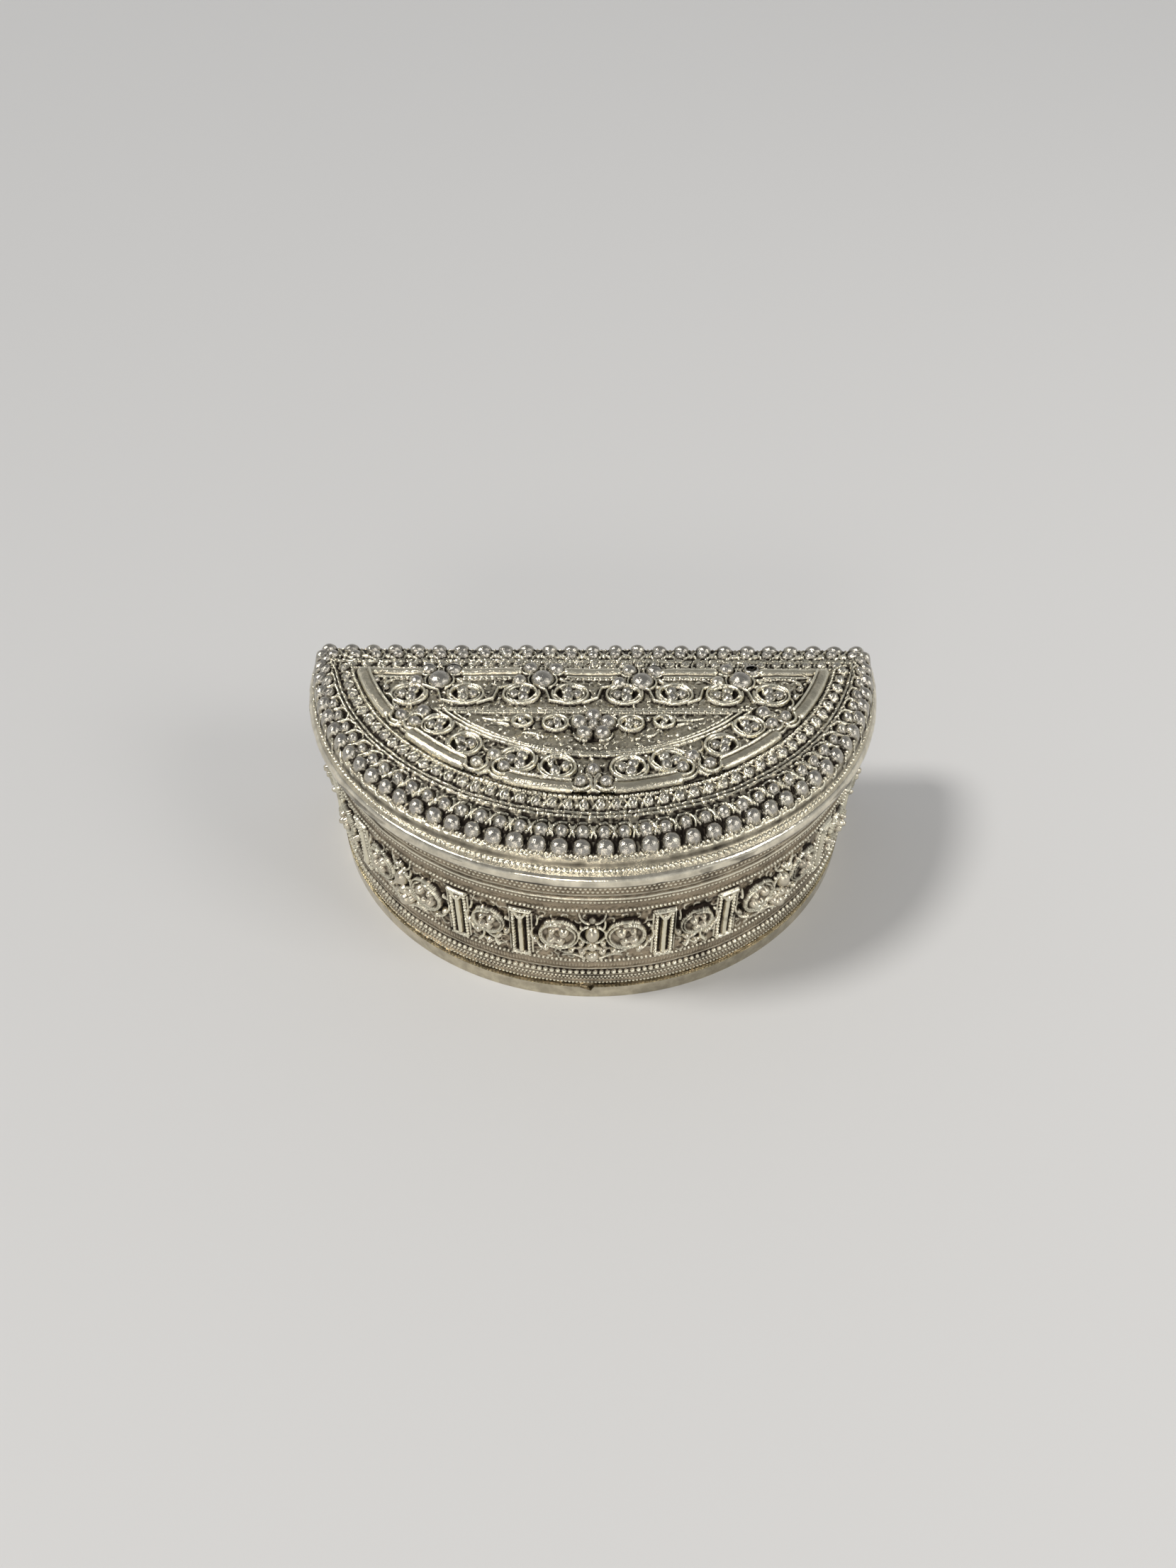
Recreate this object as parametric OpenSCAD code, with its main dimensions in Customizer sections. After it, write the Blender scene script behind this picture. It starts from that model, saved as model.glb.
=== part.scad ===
// Half-moon silver betel lime box: a chased body in a base tray, with a lift-off repousse lid.
// Millimetres, +Z up. The origin is under the middle of the box, on the surface it stands on.

/* [Outline] */
// Width over the lid's rim moulding
lid_width = 96; // [90:1:110]
// Depth over the lid's rim moulding, from the straight back to the bow of the front
lid_depth = 51.4; // [49:0.1:56]
// How much the corners between the bow and the straight back are rounded off
corner_cut = 1; // [0.6:0.1:1.4]

/* [Body] */
// Height of the chased wall's top edge, where the lid sits
wall_top = 28.5; // [27:0.1:36]
// Thickness of the silver sheet
sheet = 0.9; // [0.7:0.1:1.2]
// How far the rim moulding stands out past the body wall
rim_overhang = 2.3; // [2.1:0.1:3]
// Height of the tray's plain upturned edge
tray_edge = 2.6; // [1.6:0.1:3]
// Thickness of the tray's upturned edge outside the wall
tray_lap = 0.6; // [0.4:0.1:0.9]
// Length of the split in the tray's front edge
split_length = 2.6; // [0.6:0.2:5]

/* [Collar] */
// Thickness of the collar inside the body's mouth
collar_t = 0.8; // [0.6:0.1:1.2]
// How far the collar stands up into the lid
collar_rise = 2.6; // [1.2:0.1:3]
// How far the collar reaches down inside the wall
collar_drop = 6; // [3:0.5:10]
// Gap between the collar and the lid's skirt
collar_gap = 0.35; // [0.3:0.05:0.6]

/* [Lid] */
// Gap under the lid's skirt when it is closed
seat_gap = 0.1; // [0.05:0.05:0.4]
// Height of the plain rim moulding
rim_h = 2.5; // [2:0.1:3]
// Rise of the steep shoulder from the rim moulding to the bead border
shoulder_rise = 2.1; // [1.6:0.1:3]
// Rise from the bead border to the stud border
border_rise = 1; // [0.4:0.1:1.4]
// Rise from the stud border to the field
field_rise = 0.8; // [0.4:0.1:1.2]
// How much smaller the radius of the field bars' curve is than the outline's
side_gap = 7; // [6.4:0.1:7.8]
// Distance from the front of the rim moulding to the bars' curve
front_gap = 13; // [12.4:0.1:13.4]
// Distance from the straight back to the bars' line
back_gap = 9.8; // [9.2:0.1:10.4]

/* [Lid ornament] */
// Least distance from one double bead to the next
bead_pitch = 3.15; // [3:0.05:4]
// Radius of the large bead
bead_r = 1.35; // [1:0.05:1.4]
// Radius of the small bead inside it
small_bead_r = 0.95; // [0.75:0.05:1]
// Height of the raised wire lines
line_h = 0.4; // [0.3:0.05:0.7]
// Number of small studs in the row inside the beads
stud_count = 58; // [30:1:66]
// Radius of a small stud
stud_r = 0.7; // [0.5:0.05:0.75]
// Height of the plain bars that frame the field
bar_h = 1.2; // [0.8:0.1:2]
// Width of the plain bars that frame the field
bar_w = 1.9; // [1.4:0.1:2.1]
// Radius of the balls at the bars' ends
curl_r = 1.2; // [0.8:0.05:1.4]

/* [Body ornament] */
// Height of the middle of the chased band
band_z = 15; // [12:0.1:18]
// Height of the chased band
band_h = 11.2; // [9:0.1:12]
// Radius of the large roundels
roundel_r = 3.2; // [2.4:0.1:3.6]
// Radius of the small roundels
small_roundel_r = 2.6; // [2:0.1:3]
// How far the roundels' rings stand out
roundel_rise = 0.7; // [0.4:0.05:0.9]
// How far the round bosses stand out
boss_rise = 1.1; // [0.6:0.05:1.3]
// Width of one pilaster strip
pilaster_w = 0.7; // [0.5:0.1:1]

/* [Hidden] */
$fn = 64;

silver = [0.82, 0.81, 0.77];
arc_r = lid_width / 2;
back_y = lid_depth / 2;
arc_y = arc_r - back_y;
corner_reach = sqrt(arc_r * arc_r - pow(back_y - arc_y, 2) + back_y * back_y) - corner_cut;

// Insets of each piece's outline from the rim moulding's outline
wall_in = rim_overhang;
inside_in = wall_in + sheet;
skirt_in = inside_in - collar_gap;
tray_in = wall_in - tray_lap;
border_in = rim_h / 2 + 0.2;

// Heights of the lid's steps
lid_z = wall_top + seat_gap;
rim_top = lid_z + rim_h;
border_z = rim_top + shoulder_rise;
stud_z = border_z + border_rise;
field_z = stud_z + field_rise;

// The lid's rows lie at shares of the way in from the border's outline to the bars' curve
bar_curve_r = arc_r - side_gap;
bar_curve_y = front_gap - back_y + bar_curve_r;
bar_back_y = back_y - back_gap;
bead_share = 0.235;
small_bead_share = 0.4;
back_bead_share = 0.17;
back_small_share = 0.36;
stud_step_share = 0.62;
stud_share = 0.81;
wire_gap = 0.1;
wire_t = 0.25;
back_bead_gap = 2.05;
back_stud_gap = 2.5;

// The field inside the bars' curve: its depth, half its width at the back, and how far round it runs
field_depth = lid_depth - front_gap - back_gap;
field_half = sqrt(pow(bar_curve_r, 2) - pow(bar_back_y - bar_curve_y, 2));
field_reach = row_reach(1);

// The bow's bars as shares of that reach, the balls beside them, and bosses with shares of its radius
bow_bars = [[0.066, 0.256], [0.407, 0.622], [0.76, 0.932]];
ball_turns = [0.037, 0.287, 0.377, 0.653, 0.728];
ball_row = 0.961;
bar_gap = 0.2;
boss_places = [[0, 0.883], [0.34, 0.924], [0.673, 0.9]];

// The back's bars as middles and half lengths, in shares of the field's half width
back_bars = [[0, 0.11], [0.417, 0.107], [0.816, 0.095]];

// The foliage: places across as shares of the half width, rows and radii as shares of the depth
flower_xs = [0.211, 0.632];
flower_row = 0.115;
flower_size = 0.0385;
chord_scroll_xs = [0.107, 0.32, 0.532, 0.765];
chord_scroll_row = 0.23;
chord_scroll_size = 0.084;
bow_scrolls = [[0.11, 0.884], [0.257, 0.88], [0.444, 0.89], [0.584, 0.917]];
bow_scroll_size = 0.0735;
centre_xs = [0.159, 0.292];
centre_row = 0.5;
centre_size = 0.063;
centre_flower = 0.0455;
scroll_h = 0.6;
scroll_w = 0.7;
lunette_half = 0.596 * field_half;
lunette_depth = 0.339 * field_depth;
lunette_y = field_y(0.374);
line_w = 0.35;

// Raised rows of the body wall, as heights
wire_rows = [24.2, 21.4, 8.8, 6, 4.4];
wire_w = 0.7;
wire_out = 0.35;

// Panels of the chased band, as angles round the bow
large_panel = 27.5;
small_panel = 13;
panel_pitch = large_panel + small_panel;
roundel_turn = 6.4;
roundel_ring = 0.8;
roundel_lift = 1;
panel_boss_r = 1.4;
panel_boss_drop = 3;
row_r = arc_r - wall_in;

// The split in the tray's edge
split_x = -0.6;
split_cut = 0.9;

// Half-moon slab between two heights, set in from the rim moulding's outline
module slab(inset, low, high) {
    intersection() {
        translate([0, arc_y, low]) cylinder(h = high - low, r = arc_r - inset);
        translate([0, 0, low]) cylinder(h = high - low, r = corner_reach - inset);
        translate([-lid_width, inset - 2 * lid_depth + back_y, low - 1])
            cube([2 * lid_width, 2 * lid_depth - 2 * inset, high - low + 2]);
    }
}

module ring(outer, inner, low, high) {
    difference() {
        slab(outer, low, high);
        slab(inner, low - 1, high + 1);
    }
}

function mix(a, b, share) = a + (b - a) * share;
function row_radius(share) = mix(arc_r - border_in, bar_curve_r, share);
function row_centre(share) = mix(arc_y, bar_curve_y, share);
function row_back(share) = mix(back_y - border_in, bar_back_y, share);
function row_reach(share) = 90 + asin((row_back(share) - row_centre(share)) / row_radius(share));
function row_length(share) = row_radius(share) * row_reach(share) * PI / 90;
function field_y(share) = bar_back_y - share * field_depth;

// One step of the lid: its bow has its own radius and centre, so the rows widen towards the front
module step_slab(share, low, high, inset = 0) {
    intersection() {
        translate([0, row_centre(share), low]) cylinder(h = high - low, r = row_radius(share) - inset);
        translate([-lid_width, row_back(share) - inset - 2 * lid_width, low - 1])
            cube([2 * lid_width, 2 * lid_width, high - low + 2]);
    }
}

module step_wire(share, inset, z) {
    difference() {
        step_slab(share, z - 0.1, z + line_h, inset);
        step_slab(share, z - 1, z + 1, inset + wire_t);
    }
}

// Children stand round the bow along one row
module round_bow(count, share, z) {
    step = 2 * row_reach(share) / count;
    for (i = [0:count - 1])
        translate([0, row_centre(share), z]) rotate([0, 0, (i + 0.5) * step - row_reach(share)])
            translate([0, -row_radius(share), 0]) children();
}

// Children stand along the straight back, as far as the given reach to either side
module along_back(count, share, z, reach) {
    for (i = [0:count - 1])
        translate([-reach + 2 * reach * i / (count - 1), row_back(share), z]) children();
}

// Children stand inside the bars' curve, at a share of its reach from the front and of its radius
module on_curve(turn, share) {
    translate([0, bar_curve_y, field_z]) rotate([0, 0, turn * field_reach])
        translate([0, -share * bar_curve_r, 0]) children();
}

// Children lie on the body wall with +Z outwards
module on_bow(angle, z) {
    translate([0, arc_y, z]) rotate([0, 0, angle]) translate([0, -row_r, 0])
        rotate([90, 0, 0]) children();
}

module on_back(x, z) {
    translate([x, back_y - wall_in, z]) rotate([90, 0, 180]) children();
}

module boss(radius) {
    ball = (radius * radius + boss_rise * boss_rise) / (2 * boss_rise);
    translate([0, 0, boss_rise - ball]) sphere(ball);
}

module roundel(radius) {
    difference() {
        translate([0, 0, -sheet / 2]) cylinder(h = sheet / 2 + roundel_rise, r = radius);
        cylinder(h = sheet + roundel_rise, r = radius - roundel_ring);
    }
    boss(radius * 0.5);
}

module pilaster() {
    for (side = [-1, 1])
        translate([side * pilaster_w - pilaster_w / 2, -band_h / 2, -sheet / 2])
            cube([pilaster_w, band_h, sheet / 2 + roundel_rise * 0.8]);
}

module bow_panels() {
    z = band_z + roundel_lift;
    for (k = [-1:1]) {
        for (side = [-1, 1]) on_bow(k * panel_pitch + side * roundel_turn, z) roundel(roundel_r);
        on_bow(k * panel_pitch, band_z - panel_boss_drop) boss(panel_boss_r);
    }
    for (k = [-1.5:1:1.5]) {
        on_bow(k * panel_pitch, z) roundel(small_roundel_r);
        for (side = [-1, 1]) on_bow(k * panel_pitch + side * small_panel / 2, band_z) pilaster();
    }
    for (side = [-1, 1]) on_bow(side * (2 * panel_pitch - 1), z) roundel(roundel_r);
}

module back_panels() {
    z = band_z + roundel_lift;
    pitch = row_r * panel_pitch * PI / 180;
    spread = row_r * roundel_turn * PI / 180;
    for (k = [-1:1], side = [-1, 1]) on_back(k * pitch + side * spread, z) roundel(roundel_r);
    for (k = [-0.5, 0.5]) {
        on_back(k * pitch, z) roundel(small_roundel_r);
        for (side = [-1, 1]) on_back(k * pitch + side * spread * 0.95, band_z) pilaster();
    }
}

// Shallow tray that closes the bottom and laps outside the wall, split at the front
module base_tray() {
    color(silver) difference() {
        slab(tray_in, 0, tray_edge);
        slab(wall_in, sheet, tray_edge + 1);
        translate([split_x, -back_y + wall_in + sheet, tray_edge]) rotate([90, 0, 0])
            linear_extrude(2 * sheet + tray_lap)
                polygon([[-split_length / 2, split_cut], [split_length / 2, split_cut],
                    [split_length / 6, -split_cut], [-split_length / 2, -split_cut / 9]]);
    }
}

module body_wall() {
    color(silver) difference() {
        union() {
            slab(wall_in, sheet, wall_top);
            for (z = wire_rows) slab(wall_in - wire_out, z - wire_w / 2, z + wire_w / 2);
            bow_panels();
            back_panels();
        }
        slab(inside_in, sheet - 1, wall_top + 1);
    }
}

// Upright collar inside the body's mouth, which the lid slips over
module body_collar() {
    color(silver)
        ring(inside_in, inside_in + collar_t, wall_top - collar_drop, wall_top + collar_rise);
}

// The plain bars that frame the field, with a ball at each end and bosses where they meet
module field_bars() {
    for (side = [0, 1]) mirror([side, 0, 0]) {
        for (bar = bow_bars)
            translate([0, bar_curve_y, field_z - sheet / 2])
                rotate([0, 0, bar[0] * field_reach - 90])
                rotate_extrude(angle = (bar[1] - bar[0]) * field_reach)
                    translate([bar_curve_r - bar_gap - bar_w, 0]) square([bar_w, bar_h + sheet / 2]);
        for (turn = ball_turns)
            on_curve(turn, ball_row) translate([0, 0, bar_h - curl_r * 0.6]) sphere(curl_r);
    }
    for (place = boss_places, side = place[0] == 0 ? [1] : [-1, 1])
        on_curve(side * place[0], place[1]) sphere(curl_r);
    for (bar = back_bars, side = bar[0] == 0 ? [1] : [-1, 1])
        translate([(side * bar[0] - bar[1]) * field_half, bar_back_y - bar_gap - bar_w,
                field_z - sheet / 2])
            cube([2 * bar[1] * field_half, bar_w, bar_h * 0.7 + sheet / 2]);
}

// Flower of five balls round a centre ball
module flower(x, y, size) {
    translate([x, y, field_z]) {
        translate([0, 0, size * 0.5]) sphere(size);
        for (k = [0:4]) rotate([0, 0, k * 72]) translate([size * 1.7, 0, 0]) sphere(size * 0.85);
    }
}

// Raised ring with a ball in it, for one scroll of the foliage
module scroll(x, y, radius) {
    translate([x, y, field_z - sheet / 2]) difference() {
        cylinder(h = sheet / 2 + scroll_h, r = radius);
        cylinder(h = sheet + scroll_h, r = radius - scroll_w);
    }
    translate([x, y, field_z]) sphere(radius * 0.4);
}

// Low line round the half-moon in the middle of the field
module lunette() {
    r = (pow(lunette_half, 2) + pow(lunette_depth, 2)) / (2 * lunette_depth);
    low = field_z - sheet / 2;
    intersection() {
        translate([0, lunette_y - lunette_depth + r, low]) difference() {
            cylinder(h = sheet / 2 + line_h, r = r);
            translate([0, 0, -1]) cylinder(h = sheet + line_h + 2, r = r - line_w);
        }
        translate([-lid_width / 2, lunette_y - lid_width, 0]) cube(lid_width);
    }
    translate([-lunette_half + line_w, lunette_y - line_w, low])
        cube([2 * lunette_half - 2 * line_w, line_w, sheet / 2 + line_h]);
}

module field_ornament() {
    for (side = [-field_half, field_half]) {
        for (x = flower_xs) flower(side * x, field_y(flower_row), flower_size * field_depth);
        for (x = chord_scroll_xs)
            scroll(side * x, field_y(chord_scroll_row), chord_scroll_size * field_depth);
        for (x = centre_xs) scroll(side * x, field_y(centre_row), centre_size * field_depth);
    }
    for (place = bow_scrolls, side = [-1, 1])
        on_curve(side * place[0], place[1]) translate([0, 0, -field_z])
            scroll(0, 0, bow_scroll_size * field_depth);
    lunette();
    flower(0, field_y(centre_row), centre_flower * field_depth);
}

module lid_top() {
    bow_beads = floor(row_length(bead_share) / bead_pitch);
    bead_reach = row_radius(bead_share) - back_bead_gap;
    back_beads = floor(2 * bead_reach / bead_pitch) + 1;
    color(silver) difference() {
        union() {
            slab(border_in, rim_top, border_z);
            step_slab(stud_step_share, rim_top, stud_z);
            step_slab(1, rim_top, field_z);
            step_wire(stud_step_share, wire_gap, stud_z);
            step_wire(1, -wire_gap - wire_t, stud_z);
            round_bow(bow_beads, bead_share, border_z) sphere(bead_r);
            round_bow(bow_beads, small_bead_share, border_z) sphere(small_bead_r);
            along_back(back_beads, back_bead_share, border_z, bead_reach) sphere(bead_r);
            along_back(back_beads - 2, back_small_share, border_z,
                bead_reach * (1 - 2 / (back_beads - 1))) sphere(small_bead_r);
            round_bow(stud_count, stud_share, stud_z) sphere(stud_r);
            along_back(floor(stud_count / 2) + 1, stud_share, stud_z, bar_curve_r - back_stud_gap)
                sphere(stud_r);
            field_bars();
            field_ornament();
        }
        slab(skirt_in, lid_z, border_z - sheet);
        step_slab(stud_step_share, lid_z, stud_z - sheet, sheet);
        step_slab(1, lid_z, field_z - sheet, sheet);
    }
}

// The lid's skirt with its heavy half-round moulding
module lid_rim() {
    color(silver) difference() {
        intersection() {
            translate([0, arc_y, lid_z]) rotate_extrude() half_profile(arc_r);
            translate([0, 0, lid_z]) rotate_extrude() half_profile(corner_reach);
            translate([-lid_width, back_y - rim_h / 2, lid_z]) rotate([90, 0, 90])
                linear_extrude(2 * lid_width) half_profile(rim_h / 2, lid_width);
        }
        slab(skirt_in, lid_z - 1, rim_top + 1);
    }
}

// Flat shape that reaches out to a half-round edge at the given distance
module half_profile(out, back = 0) {
    translate([out - rim_h / 2, rim_h / 2]) circle(rim_h / 2);
    translate([-back, 0]) square([out - rim_h / 2 + back, rim_h]);
}

base_tray();
body_wall();
body_collar();
lid_top();
lid_rim();
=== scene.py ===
"""Half-moon silver betel lime box with a repousse lid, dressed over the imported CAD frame."""

import math

import bpy
import numpy as np
from mathutils import Matrix


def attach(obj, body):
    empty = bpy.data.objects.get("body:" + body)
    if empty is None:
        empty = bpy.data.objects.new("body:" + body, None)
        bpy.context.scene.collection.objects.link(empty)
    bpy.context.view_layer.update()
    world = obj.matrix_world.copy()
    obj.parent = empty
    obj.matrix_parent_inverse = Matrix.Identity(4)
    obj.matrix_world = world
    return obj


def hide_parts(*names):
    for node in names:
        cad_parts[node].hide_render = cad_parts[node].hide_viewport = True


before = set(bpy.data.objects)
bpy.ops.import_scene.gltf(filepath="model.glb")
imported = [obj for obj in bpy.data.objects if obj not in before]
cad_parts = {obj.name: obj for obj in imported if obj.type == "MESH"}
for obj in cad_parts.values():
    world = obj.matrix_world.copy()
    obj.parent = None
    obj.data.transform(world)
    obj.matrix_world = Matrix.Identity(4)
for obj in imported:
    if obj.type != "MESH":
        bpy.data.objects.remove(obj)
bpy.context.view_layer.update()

MM = 0.001

# Sizes in millimetres, shared with the CAD frame
ARC_R = 48.0
BACK = 25.7
ARC_Y = ARC_R - BACK
WALL_IN = 2.3
WALL_LOW = 0.9
WALL_TOP = 28.5
LID_Z = 28.6
RIM_H = 2.5
SHEET = 0.9
SKIRT_IN = 2.85  # the skirt's inner face, from the moulding's outline
TOP = 36.93  # no bead rises past the solids' top
CORNER_CUT = 1.0
# The bars of the field: radius and centre of the curve along the bow, and the line along the back
BAR_R = 41.0
BAR_Y = 28.3
BAR_BACK = 15.9
# The body wall: s runs along the outline, z up, and relief stands outwards
ROW_R = ARC_R - WALL_IN
BAND_Z = 15
PANEL_PITCH = 40.5  # degrees from one double panel to the next

# Rows of the lid's border, by their share e of the way in from the outline to the bars
MID_E = 0.58  # the bead row's inner side
MID_OUT = 3.9  # how far that lies outside the bars' curve
BACK_OUT = 0.87
BOW_BEADS = 44
BACK_BEADS = 25
BOW_STUDS = 48
BACK_STUDS = 33
STUD_E = 0.80
BEAD_R = 1.42
# Middles of the flowers in the gaps between the back bars
FLOWERS = ((-24.9, 12.7), (-8.2, 12.8), (7.9, 12.4), (23.8, 12.7))


# Small helpers on plain arrays
def smooth(x):
    x = np.clip(x, 0.0, 1.0)
    return x * x * (3 - 2 * x)


def interp(x, points):
    xs, ys = zip(*points)
    return np.interp(x, xs, ys)


def noise2(x, y, scale, seed):
    """Smooth value noise between -1 and 1."""
    g = np.random.default_rng(seed).uniform(-1, 1, (64, 64))
    u, v = x / scale, y / scale
    iu, iv = np.floor(u).astype(int), np.floor(v).astype(int)
    fu, fv = smooth(u - iu), smooth(v - iv)
    a, b = g[iu % 64, iv % 64], g[(iu + 1) % 64, iv % 64]
    c, d = g[iu % 64, (iv + 1) % 64], g[(iu + 1) % 64, (iv + 1) % 64]
    return (a * (1 - fu) + b * fu) * (1 - fv) + (c * (1 - fu) + d * fu) * fv


class Relief:
    """Raised work over points with two flat coordinates: each has a height, rise, and a share of the painted
    reflection colour that domes get.
    """

    def __init__(self, x, y):
        self.shape = x.shape
        self.x, self.y = x.ravel(), y.ravel()
        self.rise = np.zeros(self.x.size)
        # how much of the painted dome reflection colour each point takes
        self.tone = np.zeros(self.x.size)

    def near(self, x0, y0, x1, y1, pad):
        return np.nonzero(
            (self.x > x0 - pad) & (self.x < x1 + pad) & (self.y > y0 - pad) & (self.y < y1 + pad)
        )[0]

    def put(self, i, h, tone, base=0.0):
        k = i[(h > 0.01) & (h + base > self.rise[i])]
        self.rise[k] = (h + base)[(h > 0.01) & (h + base > self.rise[i])]
        self.tone[k] = tone

    def dome(self, x, y, r, h, tone=1.0, turn=0.0, long=1.0, base=0.0):
        i = self.near(x, y, x, y, r * long)
        dx, dy = self.x[i] - x, self.y[i] - y
        c, s = math.cos(turn), math.sin(turn)
        u, v = (dx * c + dy * s) / long, -dx * s + dy * c
        d = np.sqrt(u * u + v * v) / r
        self.put(i, h * np.sqrt(np.clip(1 - d * d, 0, 1)), tone, base)

    def sink(self, x, y, r, depth, tall=1.0):
        """Lower the bare ground in an oval."""
        i = self.near(x, y, x, y, r * tall)
        d = np.hypot((self.x[i] - x) / r, (self.y[i] - y) / (r * tall))
        k = i[self.rise[i] < 0.02]
        self.rise[k] = np.minimum(self.rise[k], -depth * smooth((1 - d[self.rise[i] < 0.02]) / 0.35))

    def stroke(self, pts, w, h, tone=0.5, taper=None, base=0.0):
        """A rounded ridge along a line. taper gives the width at each end as a share."""
        p = np.asarray(pts, float)
        i = self.near(p[:, 0].min(), p[:, 1].min(), p[:, 0].max(), p[:, 1].max(), w)
        if not i.size:
            return
        best = np.full(i.size, 1e9)
        width = np.full(i.size, w)
        n = len(p) - 1
        for k in range(n):
            a, b = p[k], p[k + 1]
            ab = b - a
            t = np.clip(((self.x[i] - a[0]) * ab[0] + (self.y[i] - a[1]) * ab[1]) / max(ab @ ab, 1e-9), 0, 1)
            d = np.hypot(self.x[i] - a[0] - t * ab[0], self.y[i] - a[1] - t * ab[1])
            s = (k + t) / n
            ww = w if taper is None else w * (taper[0] + (taper[1] - taper[0]) * s)
            q = d / ww
            m = q < best
            best[m] = q[m]
            width[m] = (ww if np.isscalar(ww) else ww[m]) * np.ones(m.sum())
        self.put(i, h * (width / w) * np.sqrt(np.clip(1 - best * best, 0, 1)), tone, base)


def arc_pts(x, y, r, a0, a1, n=20, squash=1.0):
    a = np.radians(np.linspace(a0, a1, n))
    return np.stack([x + r * np.cos(a), y + r * squash * np.sin(a)], 1)


def spiral(x, y, r, a0, turns, hand=1, n=44, inner=0.3, squash=1.0):
    t = np.linspace(0, 1, n)
    a = math.radians(a0) + hand * turns * 2 * math.pi * t
    rr = r * (1 - (1 - inner) * t**0.9)
    return np.stack([x + rr * np.cos(a), y + rr * squash * np.sin(a)], 1)


def scroll(R, x, y, r, a0, hand, squash=1.0, lobes=3):
    """A curled scroll: two raised rings that open into a stem, with commas inside; the painted shade of the
    sunken ground and the painted dome reflection colour make them read dark.
    """
    R.sink(x, y, r * 0.86, 0.3)
    R.stroke(spiral(x, y, r, a0, 1.08, hand, inner=0.84, squash=squash), 0.28, 0.8, 0.0, taper=(0.8, 1.0))
    R.stroke(arc_pts(x, y, r * 0.74, a0 + hand * 30, a0 + hand * 330, 30, squash), 0.16, 0.5, 0.0)
    for k in range(lobes):
        a = math.radians(a0 + hand * (70 + 360 / lobes * k))
        bx, by = x + r * 0.37 * math.cos(a), y + r * 0.37 * squash * math.sin(a)
        R.dome(bx, by, r * 0.27, 0.85, 1.0)
        deg = math.degrees(a)
        R.stroke(arc_pts(bx, by, r * 0.3, deg + hand * 20, deg + hand * 190, 12), 0.12, 0.55, 0.0)
    R.dome(x, y, r * 0.14, 0.6, 0.4)


def leaf(R, x, y, a, length, w, h, tone=0.0, bend=0.4):
    """A short pointed leaf that bends to one side."""
    t = np.linspace(0, 1, 8)
    turn = math.radians(a) + bend * (t - 0.5)
    pts = np.stack([x + length * t * np.cos(turn), y + length * t * np.sin(turn)], 1)
    R.stroke(pts, w, h, tone, taper=(1.0, 0.3))


def fill_leaves(R, count, inside, seed):
    """Small curled leaves scattered over the ground that is still bare."""
    g = np.random.default_rng(seed)
    bare = np.nonzero((R.rise < 0.02) & (R.rise > -0.05) & inside)[0]
    taken = np.zeros((0, 2))
    for i in g.permutation(bare)[: count * 12]:
        x, y = R.x[i], R.y[i]
        if len(taken) and np.min(np.hypot(taken[:, 0] - x, taken[:, 1] - y)) < 1.15:
            continue
        j = R.near(x, y, x, y, 0.42)
        if np.max(R.rise[j]) > 0.3:
            continue
        a = g.uniform(0, 360)
        hand = g.choice([-1, 1])
        R.stroke(arc_pts(x, y, 0.5, a, a + hand * 170, 8), 0.15, 0.34, 0.3, taper=(1.0, 0.5))
        taken = np.vstack([taken, [x, y]])
        if len(taken) >= count:
            break


# Meshes
def box_blur(a, n):
    for axis in (0, 1):
        pad = [(0, 0), (0, 0)]
        pad[axis] = (n + 1, n)
        c = np.cumsum(np.pad(a, pad, mode="edge"), axis=axis)
        hi = np.take(c, range(2 * n + 1, c.shape[axis]), axis=axis)
        lo = np.take(c, range(0, c.shape[axis] - 2 * n - 1), axis=axis)
        a = (hi - lo) / (2 * n + 1)
    return a


def grid_faces(rows, cols, keep=None, close=False):
    i = np.arange(rows * cols).reshape(rows, cols)
    if close:
        i = np.concatenate([i, i[:, :1]], axis=1)
    q = np.stack([i[:-1, :-1], i[:-1, 1:], i[1:, 1:], i[1:, :-1]], -1)
    if keep is not None:
        ok = keep[:-1, :-1] & keep[:-1, 1:] & keep[1:, 1:] & keep[1:, :-1]
        q = q[ok]
    return q.reshape(-1, 4)


def mesh(name, xyz, faces, attrs, material, flip=False):
    used, inv = np.unique(faces, return_inverse=True)
    faces = inv.reshape(faces.shape)
    if flip:
        faces = faces[:, ::-1]
    me = bpy.data.meshes.new(name)
    me.vertices.add(len(used))
    me.vertices.foreach_set("co", (xyz[used] * MM).astype(np.float32).ravel())
    me.loops.add(faces.size)
    me.loops.foreach_set("vertex_index", faces.astype(np.int32).ravel())
    me.polygons.add(len(faces))
    me.polygons.foreach_set("loop_start", np.arange(0, faces.size, faces.shape[1], dtype=np.int32))
    me.polygons.foreach_set("use_smooth", np.ones(len(faces), bool))
    me.update(calc_edges=True)
    for key, values in attrs.items():
        at = me.attributes.new(key, "FLOAT", "POINT")
        at.data.foreach_set("value", values.ravel()[used].astype(np.float32))
    me.materials.append(material)
    o = bpy.data.objects.new(name, me)
    bpy.context.scene.collection.objects.link(o)
    return o


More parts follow.
